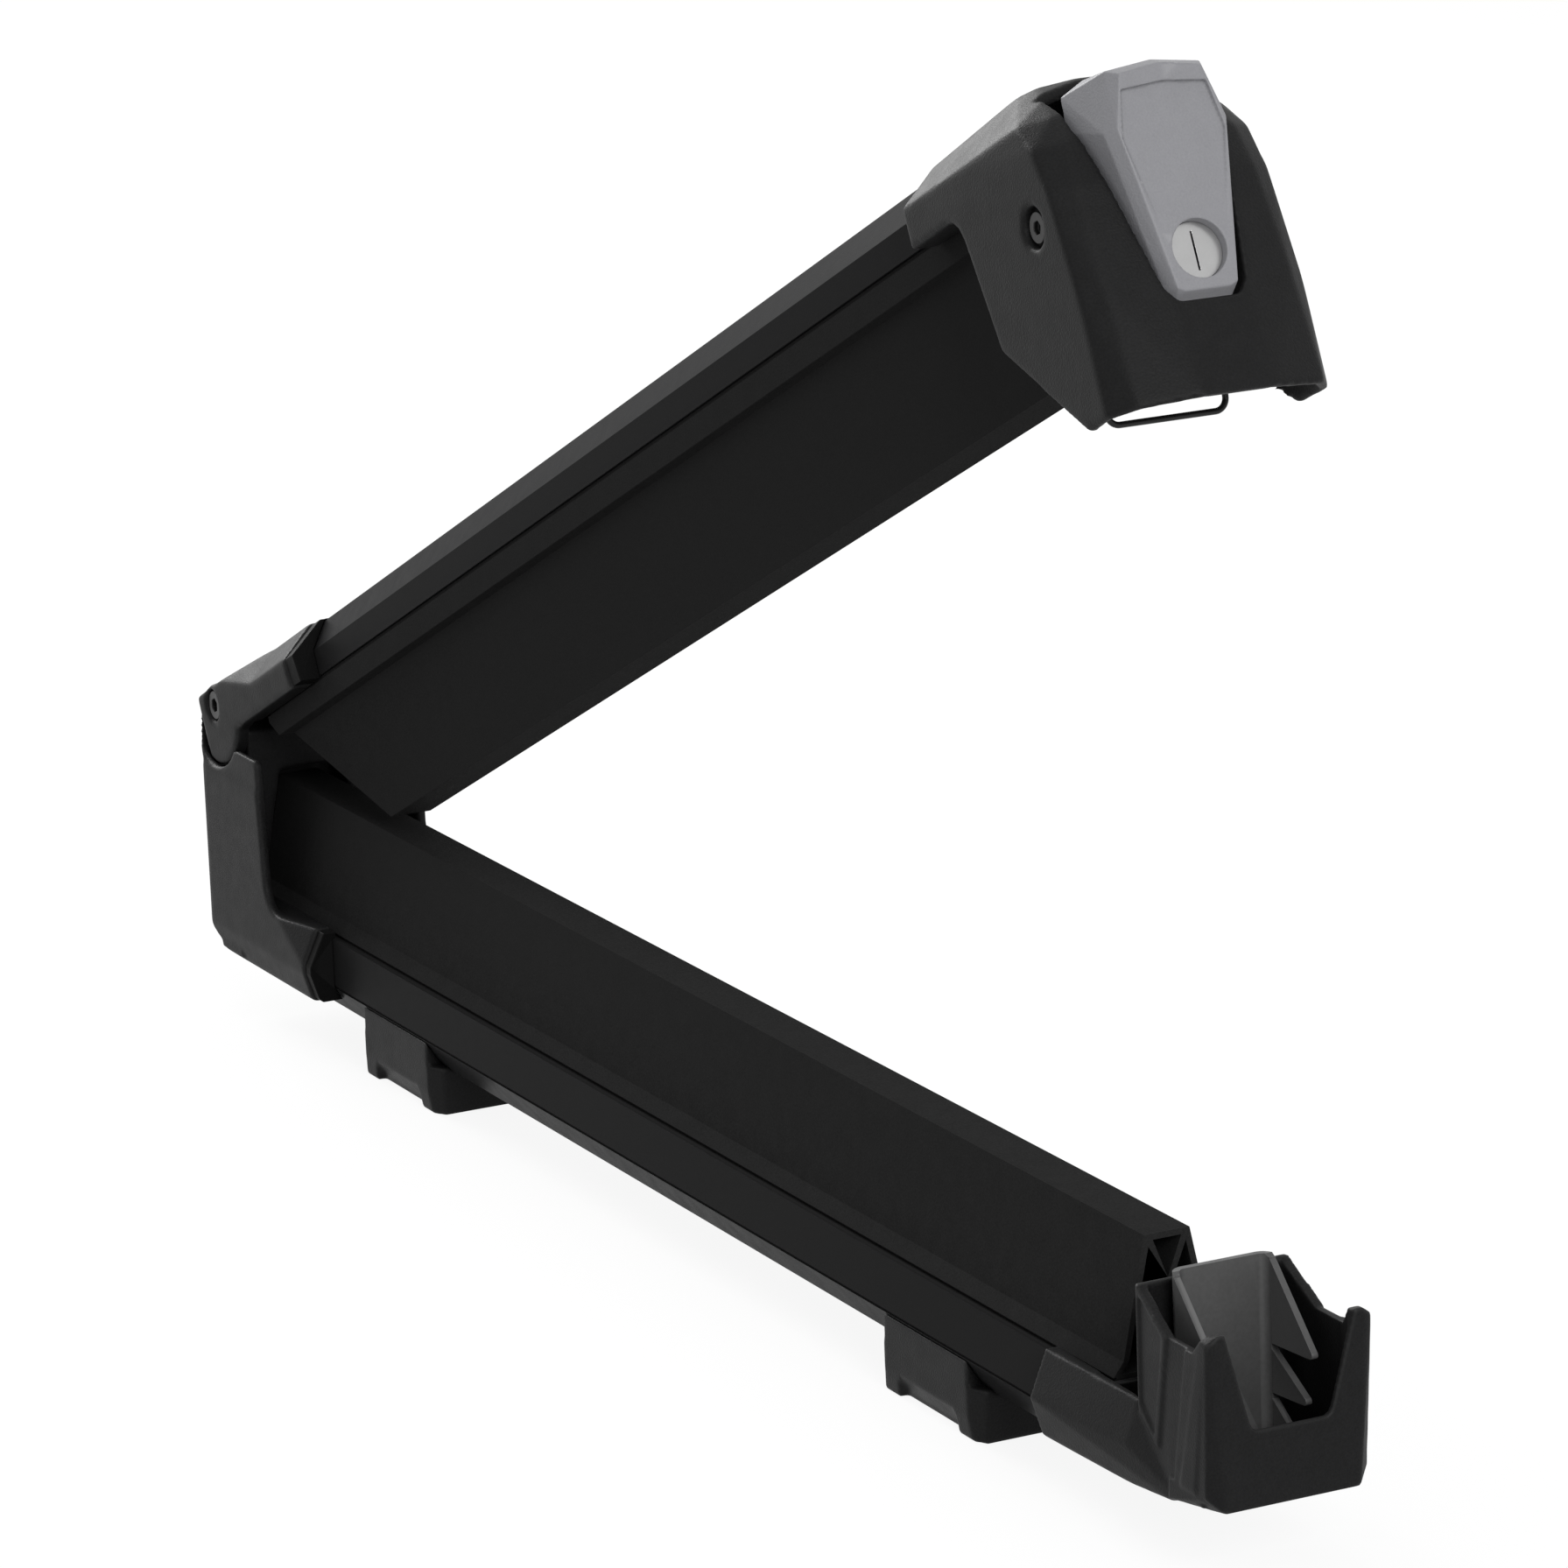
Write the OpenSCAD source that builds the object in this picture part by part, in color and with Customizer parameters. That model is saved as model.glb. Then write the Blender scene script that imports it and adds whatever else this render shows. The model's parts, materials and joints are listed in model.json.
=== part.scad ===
// Roof ski carrier: two hinged arms with soft pads, a ratchet cup and a keyed press lock.
// Origin: plane where the feet meet the roof bars, midway between the two feet, on the centre plane.
// +X runs from the hinge to the lock, +Z up. The arm is built flat and then tilted about the hinge.

/* [Stance] */
// Angle of the open arm above the lower arm
open_angle = 25.35; // [22:0.05:35]
// Hinge axis along X
hinge_x = -350; // [-360:1:-340]
// Hinge axis above the roof bars
hinge_z = 121.5; // [119:0.5:124]

/* [Extrusions] */
// Overall width of both extrusions
profile_w = 48; // [47:0.5:50]
// Width of the flat face away from the skis
profile_flat_w = 34; // [30:0.5:36]
// Height of the sloping shoulder beside the flat face
shoulder_h = 10.6; // [9.5:0.1:12]
// Height of the lower extrusion
base_profile_h = 30; // [29:0.5:32]
// Height of the upper extrusion
arm_profile_h = 20.3; // [19.5:0.1:22]
// Upper flat face above the hinge axis
arm_profile_top = 8.8; // [8.2:0.1:9.2]
// Wall of both extrusions
profile_wall = 1.8; // [1.5:0.1:2.2]
// Length of the lower extrusion
base_profile_len = 671; // [640:1:700]
// Start of the lower extrusion ahead of the hinge axis
base_profile_start = 10; // [8:0.5:12]
// Start of the upper extrusion ahead of the hinge axis
arm_profile_start = 30; // [29:0.5:34]
// Height of the pad channel in the lower extrusion
pad_channel_h = 9.5; // [8:0.5:10]
// Width of the mounting slot in the flat face
slot_mouth_w = 8.4; // [7:0.1:9]
// Width of the nut channel behind the slot
nut_channel_w = 14.2; // [13.5:0.1:15]
// Height of the nut channel
nut_channel_h = 6; // [5.5:0.1:7]
// Bore of the screw ports in the extrusions
port_d = 3.6; // [3:0.1:4]

/* [Pads] */
// Width of the pad tips
pad_tip_w = 16; // [14:0.5:18]
// Width at the shoulder line of the pads
pad_shoulder_w = 32.6; // [30:0.2:34]
// Shoulder line behind the tip
pad_shoulder_h = 39.3; // [37:0.1:41]
// Tip above the edge of the lower extrusion
base_pad_h = 44; // [42:0.5:46]
// Width of the lower pad where it enters the extrusion
base_pad_root_w = 40; // [38:0.5:41]
// Tip below the flange of the upper pad
arm_pad_h = 46.45; // [45:0.05:48]
// Width of the upper pad under its flange
arm_pad_root_w = 35.6; // [34:0.2:37]
// Depth of the upper pad's flange
flange_h = 8.8; // [8:0.1:10]
// Dark joint between the flange and the upper extrusion
flange_joint = 1.7; // [1.2:0.1:2]
// Rubber wall
pad_wall = 2; // [1.6:0.1:2.4]
// Meeting point of the two diagonal struts behind the tip
strut_depth = 17; // [14:0.5:20]
// Lower pad past the hinge end of its extrusion
pad_overhang = 8; // [6:0.5:9]
// Slant of the upper pad's hinge end, from the arm
pad_cut_angle = 42; // [38:0.5:48]
// Start of the slanted cut at the flange, ahead of the hinge
pad_cut_u = 27.3; // [26:0.1:30]

/* [Feet] */
// Distance between the two feet
foot_spacing = 421; // [380:1:440]
// Length of a foot at its sides
foot_len = 57; // [52:0.5:62]
// Length of a foot under the extrusion
foot_core_len = 70; // [66:0.5:74]
// Width of a foot's two end faces
foot_core_w = 40; // [36:0.5:42]
// Extrusion above the roof bars
foot_h = 17; // [15:0.5:20]
// Sides above the extrusion's flat face
foot_side_h = 10.2; // [8:0.1:10.4]
// Length of the hollow in each lower edge
foot_scoop_len = 36; // [30:0.5:42]
// Bolt hole
foot_hole_d = 6.8; // [6.4:0.1:7]

/* [Ends over the extrusions] */
// Widest point of the sleeves
sleeve_w = 68; // [64:0.5:72]
// Width of a sleeve at its edge next to the pad
sleeve_edge_w = 56; // [53:0.5:58]
// Sleeve wall under the extrusion's flat face
sleeve_wall = 2.4; // [2:0.1:3]
// Sleeve edge above the lower extrusion
sleeve_rise = 2.8; // [2:0.1:3.5]
// Length of the trim collars
collar_len = 5; // [3:0.5:7]
// Step from a sleeve down to its trim collar
collar_step = 0.9; // [0.6:0.1:1.4]
// Play between an extrusion and what slides over it
slip = 0.15; // [0.1:0.05:0.3]

/* [Hinge] */
// Radius of the arm's ears about the hinge axis
ear_r = 23; // [22:0.25:23.5]
// Play round the ears in their notches
ear_play = 0.7; // [0.5:0.05:1]
// Distance between the ears
ear_gap = 54; // [53:0.5:56]
// Diameter of the hinge bolt
hinge_bolt_d = 8; // [7:0.5:9]
// Radial running play on the hinge bolt
bolt_play = 0.05; // [0.02:0.01:0.1]
// Diameter of the bolt head and of the cap nut
bolt_head_d = 11; // [10:0.5:11.5]
// Recess round the bolt head
bolt_recess_d = 12.4; // [12:0.1:13]
// Outer diameter of the bushes
bush_d = 10.4; // [10:0.1:11]
// Radius of the knuckle round the bushes
knuckle_r = 7.5; // [7.2:0.1:7.6]
// Back of the standing bracket behind the hinge axis
bracket_back = 17.5; // [15.5:0.5:18]
// Horns behind the arm's ears, behind the hinge axis
horn_back = 24; // [20:0.5:24.5]
// Rounding of the rear corners at the hinge
rear_round = 9; // [6:0.5:10]
// Underside of the standing bracket above the roof bars
bracket_low = 22; // [20:0.5:24]
// Front edge of the standing bracket's sides ahead of the hinge
cheek_front = 41.6; // [38:0.1:43]
// Top of the sides below the hinge axis
cheek_drop = 13.6; // [13:0.1:16]
// Back of the arm's ears behind the hinge axis
ear_back = 19; // [17:0.5:22]
// Wall of the standing bracket
bracket_wall = 3; // [2.6:0.1:3.4]
// Length of the standing bracket's sleeve ahead of the hinge
base_sleeve_reach = 80; // [76:1:86]
// Length of the arm bracket ahead of the hinge
arm_sleeve_reach = 82; // [80:1:88]
// Top plate of the arm bracket
top_plate = 2.4; // [2:0.1:2.4]
// Space between the lower pad and its pocket
pocket_gap = 5; // [4:0.5:5.5]

/* [Cup] */
// Front of the cup past the lower extrusion
cup_reach = 72; // [70:0.5:76]
// Length of the cup's sleeve on the extrusion
cup_sleeve_len = 31; // [28:0.5:34]
// Width of the cup at its sides
cup_w = 56; // [54:0.5:57]
// Width of the front face at its bottom
cup_front_w = 46.6; // [44:0.1:48]
// Width of the front face at its top
cup_front_top_w = 52.4; // [50:0.1:53]
// Bottom of the front face above the bars
cup_front_z = 26.4; // [25:0.2:28]
// Top of the front pillars
cup_top_z = 83; // [81:0.5:85]
// Top of the bulkhead next to the pad
bulkhead_z = 86.5; // [84:0.5:88]
// Low edge of the side walls
cup_side_z = 75.3; // [73:0.1:78]
// Wall of the cup
cup_wall = 2.5; // [2.2:0.1:2.8]
// Bottom of the notch in the front face
notch_z = 50.7; // [48:0.1:54]
// Width of the notch at its bottom
notch_low_w = 26; // [22:0.5:28]
// Width of the notch at its top
notch_top_w = 45; // [42:0.5:45.6]

/* [Ratchet plate] */
// Face of the back wall past the lower extrusion
ratchet_x = 31; // [30:0.5:33]
// Top of the back wall
ratchet_top_z = 90.5; // [88:0.5:92]
// Distance between the two toothed plates
ratchet_gap = 31.2; // [30:0.2:33.2]
// Thickness of the plates
ratchet_t = 2.2; // [1.8:0.1:2.4]
// Number of teeth
tooth_count = 3; // [2:1:3]
// Upper nose past the back wall's face
nose_reach = 25.4; // [24:0.1:27]
// Upper nose above the bars
nose_z = 64.7; // [63:0.1:66]
// Drop from one nose to the next
tooth_pitch = 15.9; // [14:0.1:16.5]
// Each lower nose lies this much further back
nose_setback = 4.1; // [3:0.1:5]

/* [Lock housing] */
// Lock pin behind the front of the cup
lock_setback = 17; // [15:0.5:18]
// Lock pin below the arm's hinge line
lock_drop = 33; // [31:0.5:35]
// Width of the housing
housing_w = 72; // [70:0.5:74]
// Lower edge of the housing below the hinge line
housing_drop = 96.6; // [94:0.2:99]
// Wall of the housing
housing_wall = 2.8; // [2.4:0.1:3.2]
// Neck length behind the lock pin
neck_reach = 84; // [80:1:88]
// Upper extrusion's end behind the lock pin
arm_end_setback = 36; // [34:0.5:38]
// Diameter of the lock pin
lock_pin_d = 5; // [4:0.5:6]
// Diameter of its head and cap
lock_head_d = 9.6; // [9:0.2:10.4]
// Recess round its head
lock_recess_d = 12.6; // [12:0.1:13.5]

/* [Push button and lock] */
// Play round the push button
button_play = 0.7; // [0.5:0.05:0.9]
// Face of the push button ahead of the lock pin
button_face = 31; // [29:0.5:33]
// Wall of the push button
button_wall = 2.5; // [2:0.1:3]
// Keyed disc below the hinge line
key_drop = 52; // [50:0.5:53]
// Diameter of the keyed disc
key_d = 17.7; // [16:0.1:18.5]
// Disc below the button's face
key_recess = 3; // [2:0.1:4]
// Diameter of the key core
core_d = 9; // [8:0.5:10]
// Diameter of the lock barrel
barrel_d = 14.5; // [13:0.5:15.5]
// Radial running play of the keyed disc and its core
key_play = 0.08; // [0.05:0.01:0.1]
// Wire diameter of the bail
bail_d = 2; // [1.8:0.1:2.4]
// Width of the bail over its legs
bail_w = 42.5; // [42:0.1:43]
// Foot of the bail behind the lock pin
bail_back = 14; // [12:0.5:15]
// Foot of the bail below the hinge line
bail_drop = 92; // [90:0.5:93]
// Bend of the bail's corners
bail_bend = 4; // [3:0.5:5]

/* [Hidden] */
$fn = 48;
eps = 0.01;
cut = 1;

half_w = profile_w / 2;
flat_half = profile_flat_w / 2;
sleeve_half = sleeve_w / 2;
base_lip_z = foot_h + base_profile_h;
base_shoulder_z = foot_h + shoulder_h;
base_tip_z = base_lip_z + base_pad_h;
base_x0 = hinge_x + base_profile_start;
base_x1 = base_x0 + base_profile_len;
cup_x = base_x1;
cup_front = cup_x + cup_reach;
lock_u = cup_front - hinge_x - lock_setback;
arm_end = lock_u - arm_end_setback;
neck_u = lock_u - neck_reach;
arm_under = arm_profile_top - arm_profile_h;
arm_shoulder = arm_profile_top - shoulder_h;
flange_top = arm_under - flange_joint;
flange_low = flange_top - flange_h;
arm_tip = flange_low - arm_pad_h;
port_r = port_d / 2 + 1.5;
port_y = half_w - profile_wall - port_r + 0.2;
base_port_z = base_lip_z - pad_channel_h - profile_wall - port_r + 0.2;
arm_web = arm_profile_top - 10.4;
arm_port_w = arm_web + port_r - 0.2;
arm_port_y = flat_half - 3;
ear_half = ear_gap / 2;
boss_y = 20;
boss_r = bolt_recess_d / 2 + 2;
plate_top = arm_profile_top + 1.6;
side_edge_w = arm_under - 2;
bracket_half = sleeve_half + 0.7;
cup_rear_half = half_w + 1.6;
cup_knee = 45;

steel = [0.62, 0.63, 0.65];
zinc = [0.5, 0.5, 0.52];
black_alu = [0.15, 0.15, 0.16];
black_plastic = [0.22, 0.22, 0.23];
rubber = [0.17, 0.17, 0.17];
button_grey = [0.58, 0.59, 0.61];
silver = [0.86, 0.86, 0.87];

// Extrudes a section given as [y, z] from x by len along +X
module along_x(x, len) {
    translate([x, 0, 0]) rotate([90, 0, 90]) linear_extrude(len) children();
}

// Extrudes a side outline given as [x, z] from y0 to y1
module across(y0, y1) {
    translate([0, y1, 0]) rotate([90, 0, 0]) linear_extrude(y1 - y0) children();
}

// The same side outline on both flanks, from y0 to y1 away from the centre plane
module both_sides(y0, y1) {
    across(y0, y1) children();
    across(-y1, -y0) children();
}

// Carries what is built flat, with the hinge axis at the origin, into the open arm
module on_arm() {
    translate([hinge_x, 0, hinge_z]) rotate([0, -open_angle, 0]) children();
}

// Closes a half outline given from the centre plane outwards
function mirrored(half) = concat(half, [for (i = [len(half) - 1:-1:0]) [-half[i][0], half[i][1]]]);

// Round bar along Y
module pin_y(d, y0, y1) {
    translate([0, y1, 0]) rotate([90, 0, 0]) cylinder(d = d, h = y1 - y0);
}

// Round bar along X
module pin_x(d, x0, x1) {
    translate([x0, 0, 0]) rotate([0, 90, 0]) cylinder(d = d, h = x1 - x0);
}

// Outer form of an extrusion: flat face at height 0, sides up to height h
module profile_outline(h, grow = 0) {
    polygon(mirrored([[0, -grow], [flat_half + grow / 2, -grow], [half_w + grow, shoulder_h],
                      [half_w + grow, h]]));
}

// Two ports for the end screws
module ports(y, z, d) {
    for (side = [-1, 1]) translate([side * y, z]) circle(d = d);
}

module base_section() {
    lip = 1.3;
    lip_h = 1.4;
    inner = half_w - profile_wall;
    web = base_profile_h - pad_channel_h;
    nut_roof = profile_wall + nut_channel_h + profile_wall;
    nut_half = nut_channel_w / 2 + profile_wall;
    slope = (half_w - flat_half) / shoulder_h;
    difference() {
        profile_outline(base_profile_h);
        translate([-inner, web]) square([2 * inner, pad_channel_h - 2 * lip_h]);
        polygon(mirrored([[0, web], [half_w - 3, web], [half_w - 3, base_profile_h - lip_h],
                          [half_w - lip, base_profile_h - lip_h / 2], [half_w - lip, base_profile_h + cut]]));
        difference() {
            polygon(mirrored([[0, nut_roof], [nut_half, nut_roof], [nut_half, profile_wall],
                              [flat_half - profile_wall * 0.4, profile_wall],
                              [inner, profile_wall + (inner - flat_half + profile_wall * 0.4) / slope],
                              [inner, web - profile_wall], [0, web - profile_wall]]));
            ports(port_y, base_port_z - foot_h, 2 * port_r);
        }
        ports(port_y, base_port_z - foot_h, port_d);
        translate([-nut_channel_w / 2, profile_wall]) square([nut_channel_w, nut_channel_h]);
        translate([-slot_mouth_w / 2, -cut]) square([slot_mouth_w, profile_wall + 2 * cut]);
        for (side = [-1, 1]) translate([side * (half_w + 0.2), shoulder_h + 0.5]) square([1.6, 0.9], center = true);
    }
}

module base_profile() {
    color(black_alu) along_x(base_x0, base_profile_len) translate([0, foot_h]) base_section();
}

// The upper extrusion is drawn with its flat face at height 0, growing downwards in use
module arm_section() {
    inner = half_w - profile_wall;
    web = arm_profile_top - arm_web;
    mouth = half_w - 6;
    slope = (half_w - flat_half) / shoulder_h;
    difference() {
        profile_outline(arm_profile_h);
        translate([-inner, web + profile_wall]) square([2 * inner, arm_profile_h - web - 2 * profile_wall]);
        translate([-mouth, web + profile_wall]) square([2 * mouth, arm_profile_h]);
        difference() {
            polygon(mirrored([[0, profile_wall], [flat_half - profile_wall * 0.4, profile_wall],
                              [flat_half - profile_wall * 0.4 + (web - profile_wall) * slope, web], [0, web]]));
            ports(arm_port_y, arm_profile_top - arm_port_w, 2 * port_r);
        }
        ports(arm_port_y, arm_profile_top - arm_port_w, port_d);
    }
}

module arm_profile() {
    color(black_alu) on_arm() along_x(arm_profile_start, arm_end - arm_profile_start)
        translate([0, arm_profile_top]) mirror([0, 1]) arm_section();
}

// Outer form of a pad, tip at height 0 and the rest below it
module pad_outline(root_w, root_h, grow = 0) {
    polygon(mirrored([[0, grow], [pad_tip_w / 2 + grow, grow], [pad_shoulder_w / 2 + grow, -pad_shoulder_h],
                      [root_w / 2 + grow, -root_h]]));
}

// Hollow cells of a pad: three behind the tip, one wide cell and a foot cell
module pad_cells(root_w, root_h) {
    lean = (pad_shoulder_w - pad_tip_w) / 2 / pad_shoulder_h;
    strut = pad_wall * 0.8;
    knee = strut_depth + 9;
    top_half = pad_tip_w / 2 - pad_wall;
    polygon([[-top_half + 1, -pad_wall], [top_half - 1, -pad_wall], [0, -strut_depth + 2]]);
    for (side = [-1, 1])
        polygon([[side * (top_half + 0.6), -pad_wall - 2], [side * strut / 2, -strut_depth - 1],
                 [side * strut / 2, -knee], [side * (pad_tip_w / 2 - pad_wall + knee * lean), -knee]]);
    polygon(mirrored([[0, -knee - pad_wall], [pad_tip_w / 2 - pad_wall + (knee + pad_wall) * lean, -knee - pad_wall],
                      [pad_shoulder_w / 2 - pad_wall, -pad_shoulder_h], [root_w / 2 - pad_wall - 0.4, -root_h],
                      [0, -root_h]]));
}

module base_pad() {
    foot_half = half_w - profile_wall - slip;
    neck_half = half_w - 3 - slip;
    foot_top = base_lip_z - 2.8 - slip;
    foot_low = base_lip_z - pad_channel_h + slip;
    color(rubber) union() {
        along_x(base_x0 - pad_overhang, base_profile_len + pad_overhang - 2) translate([0, base_tip_z]) difference() {
            pad_outline(base_pad_root_w, base_pad_h);
            pad_cells(base_pad_root_w, base_pad_h);
        }
        along_x(base_x0 + cut, base_profile_len - 3 * cut) union() {
            translate([-base_pad_root_w / 2 + 1, foot_top - 2]) square([base_pad_root_w - 2, 5.6]);
            translate([-neck_half, foot_top - cut]) square([2 * neck_half, 2.4]);
            translate([-foot_half, foot_low]) square([2 * foot_half, foot_top - foot_low]);
        }
    }
}

module arm_pad() {
    foot_half = half_w - profile_wall - slip;
    neck_half = half_w - 6 - slip;
    foot_top = arm_web - profile_wall - slip;
    foot_low = arm_under + profile_wall + slip;
    pad_end = arm_end - 22;
    color(rubber) on_arm() difference() {
        along_x(arm_profile_start, pad_end - arm_profile_start) difference() {
            union() {
                translate([0, arm_tip]) mirror([0, 1]) pad_outline(arm_pad_root_w, arm_pad_h + eps);
                translate([-half_w, flange_low]) square([profile_w, flange_h]);
                translate([-half_w + 1.2, flange_top - eps]) square([profile_w - 2.4, flange_joint - slip]);
                translate([-neck_half, flange_top]) square([2 * neck_half, foot_low - flange_top + 1]);
                translate([-foot_half, foot_low]) square([2 * foot_half, foot_top - foot_low]);
            }
            translate([0, arm_tip]) mirror([0, 1]) pad_cells(arm_pad_root_w, arm_pad_h);
            translate([-neck_half + pad_wall, flange_low + pad_wall])
                square([2 * (neck_half - pad_wall), foot_top - flange_low - 2 * pad_wall]);
        }
        across(-half_w - cut, half_w + cut) translate([pad_cut_u, flange_top]) rotate(-pad_cut_angle)
            translate([-20, -120]) square([200, 120]);
    }
}

// Half outline of the lower sleeves round the extrusion, open at the pad
function base_sleeve_half(step) =
    [[half_w - 1.1, base_lip_z + sleeve_rise - step], [sleeve_edge_w / 2 - step, base_lip_z + sleeve_rise - step],
     [sleeve_half - step, base_shoulder_z + 7.4], [sleeve_half - 4 - step, base_shoulder_z - 5.4],
     [flat_half + 2.5, foot_h - sleeve_wall + step], [0, foot_h - sleeve_wall + step]];

module base_sleeve_outline(step = 0) {
    half = base_sleeve_half(step);
    polygon(concat(half, [for (i = [len(half) - 1:-1:0]) [-half[i][0], half[i][1]]]));
}

// Space that the lower extrusion and its pad take in a sleeve
module base_sleeve_bore() {
    translate([0, foot_h]) profile_outline(base_profile_h, slip);
    translate([-half_w + 1.1, base_lip_z - cut]) square([profile_w - 2.2, 40]);
}

// Half outline of what sits over the upper extrusion
function arm_sleeve_half(step) =
    [[0, plate_top - step], [flat_half + 3 - step, plate_top - step], [sleeve_half - step, arm_shoulder - 0.5],
     [sleeve_half - 1 - step, side_edge_w + step]];

// The same at the knuckle, where the sides stand taller round the bolt
function knuckle_half() =
    [[0, plate_top], [flat_half + 6, plate_top], [sleeve_half, 6.4], [sleeve_half - 1, side_edge_w]];

module arm_sleeve_bore() {
    translate([0, arm_profile_top + slip]) mirror([0, 1]) profile_outline(arm_profile_h + 8, slip);
}

// Fixes an end piece: a screw along +X into a port, head behind the wall
module end_screw(y, z) {
    head_d = 6.4;
    head_h = 2.4;
    shaft_len = 14;
    translate([0, y, z]) {
        difference() {
            pin_x(head_d, -head_h, 0);
            pin_x(3, -head_h - cut, -head_h + 1.4, $fn = 6);
        }
        pin_x(port_d - 0.1, -eps, shaft_len);
    }
}

// Half outline of the standing bracket's sleeve, which leaves the extrusion's flat face bare
function bracket_sleeve_half(step) =
    [[half_w - 1.1, base_lip_z + 3.6 - step], [sleeve_edge_w / 2 + 0.6 - step, base_lip_z + 3.6 - step],
     [bracket_half - step, bracket_low + 15], [bracket_half - step, bracket_low + 12],
     [sleeve_half - 2.4 - step, bracket_low + 1.4 + step], [sleeve_half - 4 - step, bracket_low + step]];

module bracket_sleeve_outline(step = 0) {
    half = concat(bracket_sleeve_half(step), [[0, bracket_low + step]]);
    polygon(concat(half, [for (i = [len(half) - 1:-1:0]) [-half[i][0], half[i][1]]]));
}

// Side outline of the standing bracket's cheeks
module cheek_outline() {
    curve_r = 11.5;
    curve_x = cheek_front + 15;
    curve_z = base_lip_z + 3.6 + curve_r;
    back_r = 24;
    translate([hinge_x, 0]) polygon(concat(
        [[-horn_back, hinge_z - 8], [-horn_back, bracket_low + back_r], [-bracket_back, bracket_low + back_r]],
        [for (a = [195:15:255])
            [-bracket_back + back_r + back_r * cos(a), bracket_low + back_r + back_r * sin(a)]],
        [[-bracket_back + back_r, bracket_low], [base_sleeve_reach, bracket_low],
         [base_sleeve_reach, base_lip_z + 3.6]],
        [for (a = [270:-15:180]) [curve_x + curve_r * cos(a), curve_z + curve_r * sin(a)]],
        [[cheek_front, hinge_z - cheek_drop - 1.5], [cheek_front - 1.5, hinge_z - cheek_drop],
         [ear_r - 1, hinge_z - cheek_drop], [ear_r * 0.7, hinge_z - cheek_drop - 1], [0, hinge_z - 10]]));
}

// Half outline of the standing bracket where the cheeks rise from it
function bracket_foot_half() =
    [[0, base_lip_z + 3.6], [bracket_half, base_lip_z + 3.6], [bracket_half, bracket_low + 12],
     [sleeve_half - 2.4, bracket_low + 1.4], [sleeve_half - 4, bracket_low], [0, bracket_low]];

// A plan with rounded rear corners
module rear_plan(back, half, reach) {
    translate([-back, 0]) polygon(concat([[reach, -half]], [for (a = [270:-15:180])
        [rear_round + rear_round * cos(a), -half + rear_round + rear_round * sin(a)]],
        [for (a = [180:-15:90]) [rear_round + rear_round * cos(a), half - rear_round + rear_round * sin(a)]],
        [[reach, half]]));
}

// Room inside which the standing bracket keeps: rounded at the rear, flared out into the two horns
module bracket_envelope() {
    flare_z = hinge_z - ear_r - 2;
    reach = bracket_back + base_sleeve_reach;
    translate([hinge_x, 0, 0]) union() {
        linear_extrude(flare_z) rear_plan(bracket_back, bracket_half, reach);
        hull() {
            translate([0, 0, flare_z - cut]) linear_extrude(cut) rear_plan(bracket_back, sleeve_half, reach);
            translate([0, 0, hinge_z - 9]) linear_extrude(0.2) rear_plan(horn_back, sleeve_half, reach);
        }
        translate([0, 0, hinge_z - 9]) linear_extrude(9) rear_plan(horn_back, sleeve_half, reach);
    }
}

// Centre block that carries the hinge bushes between the ears
module block_outline(front, top) {
    polygon([[-5, bracket_low + 2], [front, bracket_low + 2], [front, top], [knuckle_r * 0.7, top + 4],
             [knuckle_r, hinge_z], [-knuckle_r * 0.6, hinge_z - 5], [-5, hinge_z - 18]]);
}

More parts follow.
